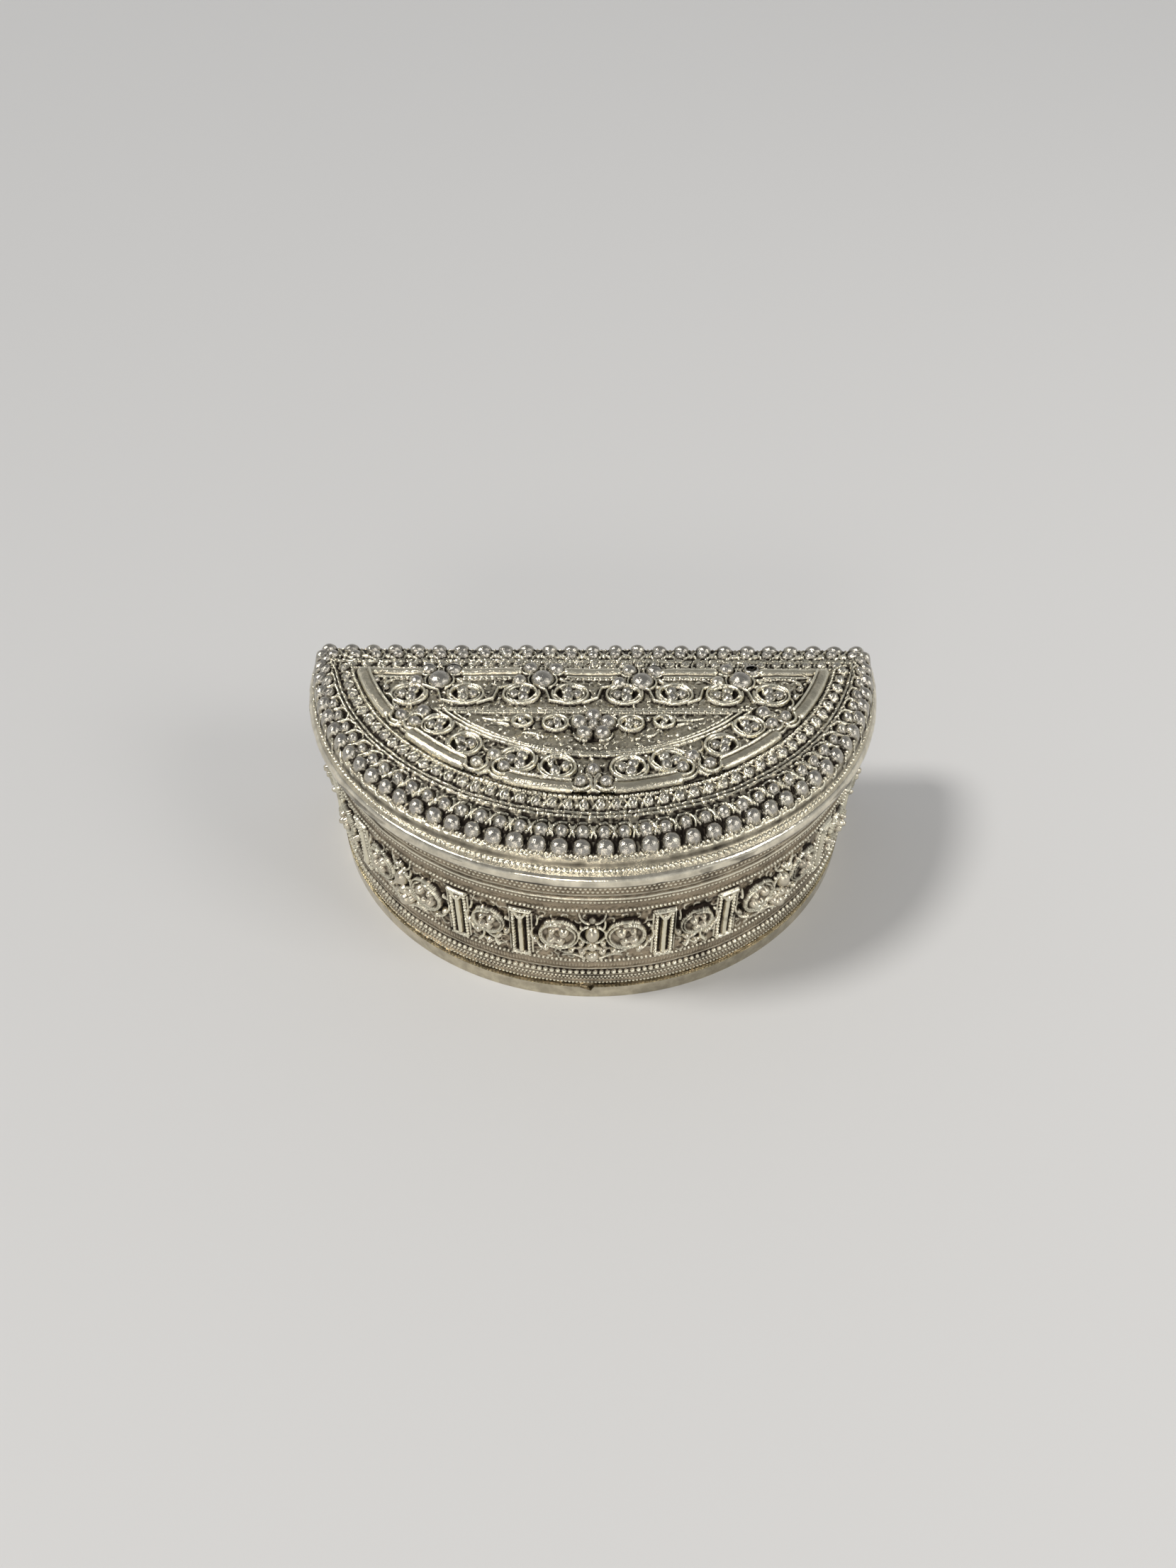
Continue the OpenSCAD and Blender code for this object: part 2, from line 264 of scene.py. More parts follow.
def shade_attrs(R, cell, wide=1.1, amount=1.0):
    """How deep each point lies below its surroundings, for tarnish and painted shade in the hollows; how far
    it stands out, for painted highlights; and the share of painted dome reflection colour.
    """
    rise = R.rise.reshape(R.shape)
    n = max(2, int(wide / cell))
    tight = max(1, int(0.35 / cell))
    around = box_blur(box_blur(rise, n), n)
    close = box_blur(box_blur(rise, tight), tight)
    # tarnish and painted shade: darker where a point lies below its surroundings
    shading_and_tarnish = np.clip((around - rise) / 0.55, 0, 1) * 0.5 + np.clip((close - rise) / 0.18, 0, 1) * 0.55
    # painted highlight on what stands out
    crest_highlight = np.maximum(np.clip((rise - close) / 0.16, 0, 1), 0.6 * np.clip((rise - around) / 0.45, 0, 1))
    tone = R.tone.reshape(R.shape)
    return {"shading_and_tarnish": np.clip(shading_and_tarnish * amount * (1 - 0.7 * tone), 0, 1), "crest_highlight": crest_highlight, "tone": tone}


# Materials
def new_material(name):
    m = bpy.data.materials.new(name)
    m.use_nodes = True
    nt = m.node_tree
    nt.nodes.clear()
    out = nt.nodes.new("ShaderNodeOutputMaterial")
    bsdf = nt.nodes.new("ShaderNodeBsdfPrincipled")
    nt.links.new(bsdf.outputs[0], out.inputs[0])
    return m, nt, bsdf


def silver(name, light, ground, bead, dark, rough, fine_bump, fine_scale):
    """Silver with tarnish and painted shade in its hollows, a painted reflection colour on domes and painted
    highlights on raised edges.
    """
    m, nt, bsdf = new_material(name)
    add = nt.nodes.new
    link = nt.links.new
    tc = add("ShaderNodeTexCoord")

    def attr(key):
        a = add("ShaderNodeAttribute")
        a.attribute_name = key
        return a.outputs["Fac"]

    def noise(scale, detail, rough_=0.6):
        n = add("ShaderNodeTexNoise")
        n.inputs["Scale"].default_value = scale
        n.inputs["Detail"].default_value = detail
        n.inputs["Roughness"].default_value = rough_
        link(tc.outputs["Object"], n.inputs["Vector"])
        return n.outputs["Fac"]

    def math_(op, a, b=None, clamp=False):
        n = add("ShaderNodeMath")
        n.operation = op
        n.use_clamp = clamp
        for k, v in enumerate((a, b)):
            if v is None:
                continue
            if isinstance(v, (int, float)):
                n.inputs[k].default_value = v
            else:
                link(v, n.inputs[k])
        return n.outputs[0]

    def mix(fac, a, b):
        n = add("ShaderNodeMix")
        n.data_type = "RGBA"
        link(fac, n.inputs[0])
        for k, v in ((6, a), (7, b)):
            if isinstance(v, tuple):
                n.inputs[k].default_value = (*v, 1)
            else:
                link(v, n.inputs[k])
        return n.outputs[2]

    def ramp(v, low, high):
        n = add("ShaderNodeMapRange")
        n.inputs["From Min"].default_value = low
        n.inputs["From Max"].default_value = high
        link(v, n.inputs["Value"])
        return n.outputs[0]

    patches = noise(140, 5)
    grain = noise(900, 3)
    shading_and_tarnish = attr("shading_and_tarnish")
    # tarnish patches, and tarnish with painted shade in the hollows, pull the colour towards the dark one
    shading_tarnish_fac = ramp(math_("ADD", shading_and_tarnish, math_("MULTIPLY", math_("SUBTRACT", patches, 0.5), 0.9)), 0.12, 0.62)
    base = mix(ramp(noise(420, 4), 0.38, 0.66), ground, tuple(c * 1.55 for c in ground))
    # painted highlight: raised edges turn to the pale colour
    edged = mix(ramp(attr("crest_highlight"), 0.15, 0.75), base, light)
    # painted reflection: domes take the bead colour
    with_dome_reflection = mix(math_("MULTIPLY", attr("tone"), ramp(noise(260, 2), 0.1, 0.45), True), edged, bead)
    final = mix(shading_tarnish_fac, with_dome_reflection, dark)
    link(final, bsdf.inputs["Base Color"])
    bsdf.inputs["Metallic"].default_value = 1.0
    r = math_("ADD", math_("MULTIPLY", shading_tarnish_fac, 0.3), rough)
    link(math_("ADD", r, math_("MULTIPLY", math_("SUBTRACT", grain, 0.5), 0.16)), bsdf.inputs["Roughness"])
    bump = add("ShaderNodeBump")
    bump.inputs["Strength"].default_value = 1.0
    bump.inputs["Distance"].default_value = fine_bump
    link(noise(fine_scale, 4, 0.7), bump.inputs["Height"])
    link(bump.outputs[0], bsdf.inputs["Normal"])
    return m


# CREAM is the pale colour of the painted highlights on raised edges; DARK is the colour of tarnish and
# painted shade
CREAM = (0.93, 0.88, 0.70)
GREY = (0.6, 0.57, 0.5)
DARK = (0.03, 0.024, 0.019)
# the lid's greyer bead colour is a painted reflection on the domes
lid_silver = silver(
    "lid_silver", CREAM, (0.46, 0.415, 0.31), (0.47, 0.445, 0.39), DARK, 0.17, 0.00012, 1500
)
# the wall's dark brown ground is a painted reflection of a dark table, and its domes take a paler painted
# reflection colour
wall_silver = silver(
    "wall_silver", CREAM, (0.29, 0.24, 0.172), (0.58, 0.52, 0.41), (0.03, 0.022, 0.017), 0.19, 0.0001, 1500
)
plain_silver = silver(
    "plain_silver", CREAM, (0.62, 0.575, 0.465), GREY, (0.03, 0.024, 0.02), 0.12, 0.00006, 700
)
tray_silver = silver("tray_silver", CREAM, (0.42, 0.38, 0.29), GREY, DARK, 0.2, 0.0001, 700)
inner_silver = silver(
    "inner_silver", CREAM, (0.5, 0.47, 0.40), GREY, (0.12, 0.1, 0.09), 0.34, 0.00003, 900
)


# The lid: heights and rows follow a share e of the way in from the moulding to the bars
def half_moon(u, r, centre, back):
    """u runs 0 to 1 round the bow from the left back corner, then 1 to 2 along the back."""
    end = math.asin((back - centre) / r)
    a = -(math.pi / 2 + end) + u * (math.pi + 2 * end)
    x, y = r * np.sin(a), centre - r * np.cos(a)
    corner = r * math.cos(end)
    on_back = u > 1
    return np.where(on_back, corner - 2 * corner * (u - 1), x), np.where(on_back, back, y), corner


def outer_edge(u):
    """Outline just inside the moulding."""
    inset = 0.55
    x, y, corner = half_moon(u, ARC_R - inset, ARC_Y, BACK - inset)
    reach = math.hypot(corner, BACK - inset) - 0.9
    f = np.minimum(1.0, reach / np.hypot(x, y))
    return x * f, y * f


def curve_edge(u, out):
    """The curve that the bars stand along, grown outwards, on its own centre."""
    return half_moon(u, BAR_R + out, BAR_Y, BAR_BACK + out * BACK_OUT)[:2]


# Height of the lid's face at each share e
FACE = [(0, 30.8), (0.03, 31.35), (0.065, 31.6), (0.085, 32.0), (0.115, 32.6), (0.14, 32.95), (0.18, 33.1),
        (0.45, 33.8), (0.6, 34.2), (0.95, 34.85), (1.0, 34.95), (1.2, 35.05), (2.0, 35.3)]


def edge_point(u, e):
    """Place on the lid's plan: e runs from 0 at the outline to MID_E, then to 1 at the bars."""
    xo, yo = outer_edge(u)
    xm, ym = curve_edge(u, MID_OUT)
    xi, yi = curve_edge(u, 0.0)
    a = np.clip(e / MID_E, 0, 1)
    b = np.maximum((e - MID_E) / (1 - MID_E), 0)
    return xo + (xm - xo) * a + (xi - xm) * b, yo + (ym - yo) * a + (yi - ym) * b


def border_ornament(R):
    """Double beads with their outlines, and comma studs. The relief's points are places on the lid's plan."""
    def at(u, e):
        x, y = edge_point(np.array([u]), e)
        return float(x[0]), float(y[0])

    def pair(u, step, e0, e1, size, seed):
        j = np.random.default_rng(seed).uniform(-1, 1, 6)
        x, y = at(u + 0.03 * step * j[4], e0)
        x2, y2 = at(u + 0.03 * step * j[4], e1)
        turn = math.degrees(math.atan2(y2 - y, x2 - x))
        across = math.radians(turn)
        gap = math.hypot(x2 - x, y2 - y)
        large, small = size * (1 + 0.05 * j[0]), size * (0.76 + 0.06 * j[2])
        R.dome(x, y, large, 1.38 + 0.08 * j[1], 1.0, across, max(0.8, gap * 0.5 / size))
        R.dome(x2, y2, small, 1.2 + 0.1 * j[3], 1.0, across, max(0.8, gap * 0.58 / size))
        for side in (-1, 1):
            R.stroke(arc_pts(x2, y2, size * 1.0, turn + side * 35, turn + side * 125, 10), 0.15, 0.75, 0.0)
            R.stroke(arc_pts(x, y, size * 1.12, turn + side * 150, turn + side * 178, 5), 0.13, 0.35, 0.0)
        R.stroke(arc_pts(x2, y2, size * 1.12, turn - 28, turn + 28, 6), 0.12, 0.45, 0.0)
        # the punched pad between two upper lobes
        xp, yp = at(u + 0.5 * step, e1 + 0.02)
        R.dome(xp, yp, 0.5, 0.62, 0.0, across, max(1.0, 1.5 * gap / 2.2))

    for k in range(BOW_BEADS):
        pair((k + 0.5) / BOW_BEADS, 1 / BOW_BEADS, 0.235, 0.405, BEAD_R, 100 + k)
    for k in range(BACK_BEADS):
        pair(1 + (k + 0.35) / (BACK_BEADS - 0.3), 1 / BACK_BEADS, 0.22, 0.41, BEAD_R, 300 + k)

    def comma(u, step, e, seed):
        """A round stud with a curl over it and a small leaf behind."""
        j = np.random.default_rng(seed).uniform(-1, 1, 5)
        x, y = at(u, e + 0.006 * j[0])
        xn, yn = at(u + step, e)
        along = math.degrees(math.atan2(yn - y, xn - x))
        turn = along + 20 * j[1]
        R.dome(x, y, 0.66 + 0.05 * j[2], 0.75, 0.9)
        R.stroke(arc_pts(x, y, 0.78, turn + 60, turn + 235, 12), 0.15, 0.62, 0.0)
        R.stroke(arc_pts(x + 0.12, y, 0.3, turn - 60, turn + 150, 8), 0.1, 0.8, 0.0)
        xl, yl = at(u + 0.5 * step, e - 0.03)
        leaf(R, xl, yl, along + 75, 1.3, 0.2, 0.5, 0.0, 0.9)

    for k in range(BOW_STUDS):
        comma((k + 0.5) / BOW_STUDS, 1 / BOW_STUDS, STUD_E, 500 + k)
    for k in range(BACK_STUDS):
        comma(1 + (k + 0.5) / BACK_STUDS, 1 / BACK_STUDS, STUD_E, 700 + k)


def border_lines(R, e, s):
    """Wires and stamped rows that run all the way round, by e and the length s along the row."""
    def wire(at, w, h, pitch=0.0, tick=0.14):
        line = np.sqrt(np.clip(1 - ((e - at) / w) ** 2, 0, 1))
        if pitch:
            place = np.abs((s / pitch + 0.13 * noise2(s, s * 0, 3.0, 71)) % 1.0 - 0.5) * pitch
            line = line * smooth(place / tick)
        add = h * line
        m = add > R.rise
        R.rise[m] = add[m]
        R.tone[m & (line > 0.1)] = 0

    wire(0.60, 0.017, 0.42, 1.35)
    wire(0.66, 0.020, 0.45, 1.45)
    wire(0.945, 0.024, 0.45, 0.9, 0.2)
    wire(0.155, 0.018, 0.34, 0.62, 0.3)
    wire(0.122, 0.010, 0.16)
    wire(0.048, 0.013, 0.24, 0.7, 0.3)


def build_lid_border():
    cols_bow, cols_back, rows = 1140, 560, 57
    u = np.concatenate([np.arange(cols_bow) / cols_bow, 1 + np.arange(cols_back) / cols_back])
    e = np.concatenate([np.linspace(0, 0.18, 15, endpoint=False), np.linspace(0.18, 1.03, rows - 15)])
    U, E = np.meshgrid(u, e)
    X, Y = edge_point(U, E)
    R = Relief(X, Y)
    mx, my = edge_point(u, 0.5)
    s = np.cumsum(np.hypot(np.diff(mx, prepend=mx[0]), np.diff(my, prepend=my[0])))
    S = np.broadcast_to(s, U.shape).ravel()
    border_ornament(R)
    border_lines(R, E.ravel(), S)
    gap_balls(R)
    uneven = 0.09 * noise2(R.x, R.y, 5.0, 1) + 0.05 * noise2(R.x, R.y, 1.4, 2)
    punched = 0.13 * noise2(R.x, R.y, 0.42, 3) * (R.tone < 0.3) * (R.rise < 0.65) * (E.ravel() > 0.2)
    R.rise = R.rise + punched
    Z = interp(E.ravel(), FACE) + R.rise + uneven * smooth(E.ravel() / 0.15)
    xyz = np.stack([R.x, R.y, np.minimum(Z, TOP)], 1)
    at = shade_attrs(R, 0.13, 0.9)
    # painted shade and tarnish are weaker near the rim, and a darker ring runs round the steep shoulder
    shoulder = smooth(1 - np.abs(E - 0.09) / 0.025) * 0.38
    near_rim = 0.45 + 0.55 * smooth((E - 0.12) / 0.1)
    at["shading_and_tarnish"] = np.clip(at["shading_and_tarnish"] * near_rim + shoulder, 0, 1)
    return mesh("lid_border", xyz, grid_faces(rows, len(u), close=True), at, lid_silver)


def field_e(x, y):
    """How far inside the bars' curve a point lies: 1 on it, more inwards."""
    arc = BAR_R - np.hypot(x, y - BAR_Y)
    return 1 + np.minimum(arc, BAR_BACK - y) / 9.0


def bars(R):
    def curve(a0, a1, r, n=18):
        a = np.radians(np.linspace(a0, a1, n))
        return np.stack([r * np.sin(a), BAR_Y - r * np.cos(a)], 1)

    def at(a, r):
        a = math.radians(a)
        return (r * math.sin(a), BAR_Y - r * math.cos(a))

    def bar(a0, a1, ball0, ball1):
        """A broad smooth bar with a wire along its inner side that curls round a ball at each end."""
        R.stroke(curve(a0, a1, BAR_R - 1.1), 1.08, 0.95, 0.05)
        wire = curve(a0, a1, BAR_R - 2.1, 20)
        R.stroke(wire, 0.3, 1.1, 0.0)
        for end, ball, inward in ((0, ball0, 1), (-1, ball1, -1)):
            if ball is None:
                continue
            bx, by = ball
            R.sink(bx, by, 1.7, 0.35)
            R.dome(bx, by, 1.12, 1.5, 1.0)
            for radius, w, h in ((1.65, 0.3, 0.95), (2.25, 0.22, 0.7)):
                a = math.degrees(math.atan2(wire[end][1] - by, wire[end][0] - bx))
                hand = inward * (1 if a1 > a0 else -1)
                R.stroke(arc_pts(bx, by, radius, a - hand * 15, a - hand * 235, 24), w, h, 0.0)

    for side in (-1, 1):
        bar(side * 70.5, side * 54, None, at(side * 51, 38.6))
        bar(side * 44.5, side * 29.5, at(side * 46.8, 38.0), at(side * 26.6, 39.0))
        bar(side * 18.2, side * 4.9, at(side * 20.4, 38.2), at(side * 2.75, 38.9))
        R.dome(*at(side * 48.9, 35.4), 1.25, 1.35, 1.0)
        R.dome(*at(side * 24.2, 36.4), 1.25, 1.35, 1.0)
        leaf(R, *at(side * 23.5, 40.0), 90 + side * 24, 2.6, 0.4, 0.95)
        leaf(R, *at(side * 49, 40.0), 90 + side * 49, 3.2, 0.4, 0.95)
    R.dome(0, BAR_Y - 36.3, 1.2, 1.4, 1.0)
    for side in (-1, 1):
        stem = [(side * 0.15, BAR_Y - 40.6), (side * 0.3, BAR_Y - 39.2), (side * 1.0, BAR_Y - 37.7)]
        R.stroke(stem, 0.3, 0.95, 0.0)
    y = BAR_BACK - 0.9
    for x0, x1 in ((-37.4, -28.0), (-21.0, -12.3), (-4.2, 3.9), (11.5, 19.6), (27.7, 36.9)):
        R.stroke([(x0, y), (x1, y)], 0.86, 0.9, 0.0)
        R.stroke([(x0, y - 1.3), (x1, y - 1.3)], 0.18, 0.5, 0.0)


def gap_balls(R):
    """Two balls in each gap between the back bars. They lie over the meshes' seam, so both have them."""
    for cx, cy in FLOWERS:
        R.dome(cx - 2.0, cy + 3.0, 1.3, 1.3, 1.0)
        R.dome(cx + 2.1, cy + 2.9, 1.35, 1.35, 1.0)


def flowers(R):
    """A large ball in front of each pair in the gaps, with a small one beside it."""
    for cx, cy in FLOWERS:
        R.dome(cx, cy, 1.95, 1.75, 1.0)
        R.dome(cx - 3.7, cy - 0.3, 1.25, 1.35, 1.0)
        for side in (-1, 1):
            R.stroke(arc_pts(cx, cy, 2.3, 90 + side * 50, 90 + side * 150, 14), 0.18, 0.6, 0.0)
            ring = arc_pts(cx + side * 2.0, cy + 3.0, 1.65, 270 - side * 100, 270 + side * 50, 12)
            R.stroke(ring, 0.16, 0.55, 0.0)
        leaf(R, cx + 2.4, cy - 1.4, 10, 2.4, 0.3, 0.6)
        leaf(R, cx + 2.9, cy + 0.3, -30, 2.0, 0.3, 0.6)


def lunette_line(R, grow, w, h, dash):
    """A line that follows the low half-moon in the middle of the field."""
    half, low, top = 23.3 + 1.9 * grow, 9.7 + grow, 5.2 + grow * 0.5
    r = (half * half + low * low) / (2 * low)
    a = math.degrees(math.asin(half / r))
    arc = np.radians(np.linspace(-a, a, 150))
    bow = np.stack([r * np.sin(arc), top - low + r - r * np.cos(arc)], 1)
    chord = np.stack([np.linspace(-half, half, 120), np.full(120, top)], 1)
    for line in (bow, chord):
        if dash:
            for k in range(0, len(line) - 2, 3):
                R.stroke(line[k:k + 3], w, h, 0.0)
        else:
            R.stroke(line, w, h, 0.0)


# Scrolls behind the bars of the right half, by place and radius
BOW_SCROLLS = ((5.3, -7.3, 2.9), (11.4, -5.7, 3.0), (19.6, -2.4, 2.8), (24.2, 1.9, 2.6))
# Leaves between them, by place, direction and length
BOW_LEAVES = (
    (33.4, 11.0, 100, 3.0), (31.2, 6.2, 70, 3.2), (28.7, 1.8, 60, 2.8), (15.4, -4.2, 40, 3.0),
    (28.0, 4.8, 150, 2.4), (35.2, 13.0, 120, 2.4), (16.4, -7.2, 60, 2.6), (8.2, -9.6, 20, 2.4),
    (32.4, 9.0, 20, 1.8),
)


def field_scrolls(R):
    # along the back, a wave of scrolls under the flowers
    xs = (-29.5, -20.3, -11.6, -3.6, 4.9, 13.1, 20.9, 28.6)
    for k, x in enumerate(xs):
        hand = 1 if k % 2 else -1
        scroll(R, x, 9.3, 3.0, 90 + 75 * hand, hand, 0.86)
        if k < len(xs) - 1:
            xm = (x + xs[k + 1]) / 2
            ways = ((x + 2.0, -2.2), (xm, -1.0), (xm + 0.7, 1.6), (xs[k + 1] - 0.8, 2.5))
            R.stroke([(wx, 9.3 + hand * wy) for wx, wy in ways], 0.2, 0.6, 0.0)
    # round the bow, a pair of scrolls behind each bar
    for side in (1, -1):
        for k, (x, y, r) in enumerate(BOW_SCROLLS):
            hand = side if k % 2 else -side
            scroll(R, x * side, y, r, 90 + 80 * hand, hand, 0.88)
        for x, y, a, n in BOW_LEAVES:
            leaf(R, x * side, y, a if side > 0 else 180 - a, n, 0.36, 0.75, 0.0, 0.9 * side)
            R.dome(x * side, y, 0.6, 0.7, 0.9)
    # inside the low half-moon
    for side in (-1, 1):
        scroll(R, side * 5.9, 2.2, 2.15, 90 - 60 * side, side, 0.85)
        scroll(R, side * 11.0, 2.7, 1.7, 90 + 60 * side, -side, 0.8, 2)
        leaf(R, side * 13.2, 3.0, 90 - side * 86, 4.6, 0.34, 0.55, 0.0, 0.3 * side)
        leaf(R, side * 13.2, 1.9, 90 - side * 70, 3.2, 0.3, 0.5, 0.0, -0.6 * side)
        leaf(R, side * 8.4, -0.6, 90 - side * 60, 2.6, 0.3, 0.5, 0.0)
        R.dome(side * 8.6, 3.4, 0.45, 0.6, 0.9)
    R.sink(0, 1.8, 4.2, 0.35)
    for k in range(5):
        a = math.radians(90 + 72 * k)
        x, y, deg = 2.35 * math.cos(a), 1.8 + 2.15 * math.sin(a), math.degrees(a)
        R.dome(x, y, 1.36, 1.45, 1.0)
        R.stroke(arc_pts(x, y, 1.62, deg - 50, deg + 50, 8), 0.14, 0.5, 0.0)
    R.dome(0, 1.8, 0.95, 1.45, 1.0)


def build_lid_field():
    cell = 0.135
    xs, ys = np.arange(-39.4, 39.41, cell), np.arange(-13.0, 16.4, cell)
    X, Y = np.meshgrid(xs, ys)
    R = Relief(X, Y)
    E = field_e(R.x, R.y)
    lunette_line(R, 0, 0.2, 0.5, False)
    lunette_line(R, 0.85, 0.2, 0.5, True)
    lunette_line(R, -0.8, 0.17, 0.42, True)
    field_scrolls(R)
    flowers(R)
    bars(R)
    gap_balls(R)
    # a beaded line just inside the bars along the back
    line = 0.4 * np.sqrt(np.clip(1 - ((R.y - 13.3) / 0.2) ** 2, 0, 1)) * np.sqrt(np.abs(np.sin(R.x * 3.4)))
    keep_low = (np.abs(R.x) < 33) & (R.rise < line) & (R.rise > -0.05)
    R.rise[keep_low] = line[keep_low]
    in_lunette = (R.y < 5.0) & (np.hypot(R.x, R.y - 28.5) < 32.0)
    fill_leaves(R, 200, (E > 1.08) & ~in_lunette, 17)
    fill_leaves(R, 45, in_lunette, 18)
    # small deep pits, darkened by the painted shade and tarnish of the hollows
    for x, y, r in ((-20.0, -2.6, 0.6), (25.9, 15.6, 0.8), (-5.3, -6.6, 0.7)):
        d = np.hypot(R.x - x, R.y - y)
        R.rise -= 1.2 * smooth(1.3 - d / r)
    uneven = 0.1 * noise2(R.x, R.y, 5.0, 11) + 0.05 * noise2(R.x, R.y, 1.3, 12)
    R.rise = R.rise + 0.1 * noise2(R.x, R.y, 0.4, 13) * (R.rise < 0.12)
    Z = interp(E, FACE) + R.rise + uneven
    xyz = np.stack([R.x, R.y, np.minimum(Z, TOP)], 1)
    keep = (E > 0.985).reshape(R.shape)
    at = shade_attrs(R, cell, 1.0)
    return mesh("lid_field", xyz, grid_faces(len(ys), len(xs), keep), at, lid_silver)


# The moulding is swept round the outline with a hammered, slightly uneven surface
def build_rim():
    cols_bow, cols_back = 420, 200
    u = np.concatenate([np.arange(cols_bow) / cols_bow, 1 + np.arange(cols_back) / cols_back])
    prof = []
    for a in np.linspace(-90, 90, 21):
        c, s = math.cos(math.radians(a)), math.sin(math.radians(a))
        prof.append((RIM_H / 2 * (1 - max(c, 0) ** 0.75), LID_Z + RIM_H / 2 * (1 + s)))
    prof = [(SKIRT_IN, LID_Z + RIM_H), (SKIRT_IN, LID_Z + 0.02)] + prof + [(1.9, LID_Z + RIM_H)]
    reach = math.sqrt(ARC_R**2 - (BACK - ARC_Y) ** 2 + BACK**2) - CORNER_CUT
    rows = []
    for inset, z in prof:
        x, y, _ = half_moon(u, ARC_R - inset, ARC_Y, BACK - inset)
        f = np.minimum(1.0, (reach - inset) / np.hypot(x, y))
        x, y = x * f, y * f
        dent = 0.09 + 0.05 * noise2(x * 0.5, y + z, 1.8, 21) + 0.035 * noise2(x, y * 1.3 + z * 3, 0.8, 22)
        x, y = x * (1 - dent / ARC_R), y * (1 - dent / ARC_R)
        rows.append(np.stack([x, y, np.full_like(x, z)], 1))
    xyz = np.concatenate(rows)
    n = len(u)
    height = np.repeat(np.array([p[1] for p in prof]), n)
    share = (height - LID_Z) / RIM_H
    stains = smooth((noise2(xyz[:, 0] * 0.5, xyz[:, 1] * 0.5 + height * 1.5, 1.6, 23) - 0.25) / 0.4)
    # The lower half of the roll is darkened as a painted reflection of a dark table below, mottled by the
    # stains; stains darken the rest below its top quarter, and it is darker along the top where the roll
    # meets the lid's face.
    shading_and_tarnish = 0.95 * smooth((0.45 - share) / 0.2) * (0.55 + 0.45 * stains) + 0.35 * stains * (share < 0.75)
    shading_and_tarnish += 0.4 * smooth((share - 0.93) / 0.05)
    at = {"shading_and_tarnish": np.clip(shading_and_tarnish, 0, 1), "crest_highlight": np.zeros(len(xyz)), "tone": np.zeros(len(xyz))}
    return mesh("lid_moulding", xyz, grid_faces(len(prof), n, close=True), at, plain_silver)


# The body wall
def body_rows(R):
    """The stamped rows above and below the chased band."""
    s, z = R.x, R.y

    def row(at, w, h, pitch=0.0, shift=0.0, dot=False):
        line = np.sqrt(np.clip(1 - ((z - at) / w) ** 2, 0, 1))
        if dot:
            c = ((s + shift) / pitch) % 1.0 - 0.5
            line = np.sqrt(np.clip(1 - ((z - at) / w) ** 2 - (c * pitch / w) ** 2, 0, 1))
        elif pitch:
            place = np.abs(((s + shift) / pitch) % 1.0 - 0.5) * pitch
            line = line * smooth(place / 0.2)
        m = h * line > R.rise
        R.rise[m] = (h * line)[m]

    row(27.75, 0.26, 0.2, 0.72, dot=True)
    row(27.05, 0.26, 0.2, 0.72, 0.36, dot=True)
    row(26.35, 0.26, 0.2, 0.72, dot=True)
    row(25.65, 0.26, 0.2, 0.72, 0.36, dot=True)
    row(24.9, 0.12, 0.16)
    row(24.1, 0.16, 0.3)
    row(23.3, 0.24, 0.22, 0.62, dot=True)
    row(21.4, 0.26, 0.4, 0.66, dot=True)
    row(20.95, 0.11, 0.16)
    row(9.1, 0.24, 0.4, 0.7, 0.3, dot=True)
    row(8.7, 0.1, 0.16)
    row(7.9, 0.6, 0.12, 0.5)
    row(6.9, 0.12, 0.18)
    row(6.1, 0.42, 0.55, 0.98, dot=True)
    row(5.35, 0.13, 0.2)
    row(4.8, 0.25, 0.32, 0.6, dot=True)
    row(4.25, 0.2, 0.26, 0.6, 0.3, dot=True)
    row(3.75, 0.12, 0.18)
    row(3.3, 0.25, 0.32, 0.6, 0.3, dot=True)


def pilaster(R, s):
    """A plain post between two beaded strips, with a flared cap and foot."""
    R.sink(s, 15.0, 2.0, 0.2, 2.4)
    R.stroke([(s, 10.5), (s, 18.9)], 0.45, 0.75, 0.1)
    for side in (-1, 1):
        for k in range(13):
            R.dome(s + side * 1.2, 10.3 + k * 0.74, 0.33, 0.6, 0.1)
        R.stroke([(s + side * 1.75, 10.2), (s + side * 1.75, 19.6)], 0.14, 0.4, 0.0)
        R.stroke([(s + side * 0.3, 18.6), (s + side * 1.0, 20.0)], 0.28, 0.8, 0.0)
    R.stroke([(s - 1.5, 20.2), (s + 1.5, 20.2)], 0.36, 0.8, 0.1)
    R.stroke([(s - 1.2, 9.85), (s + 1.2, 9.85)], 0.34, 0.7, 0.1)


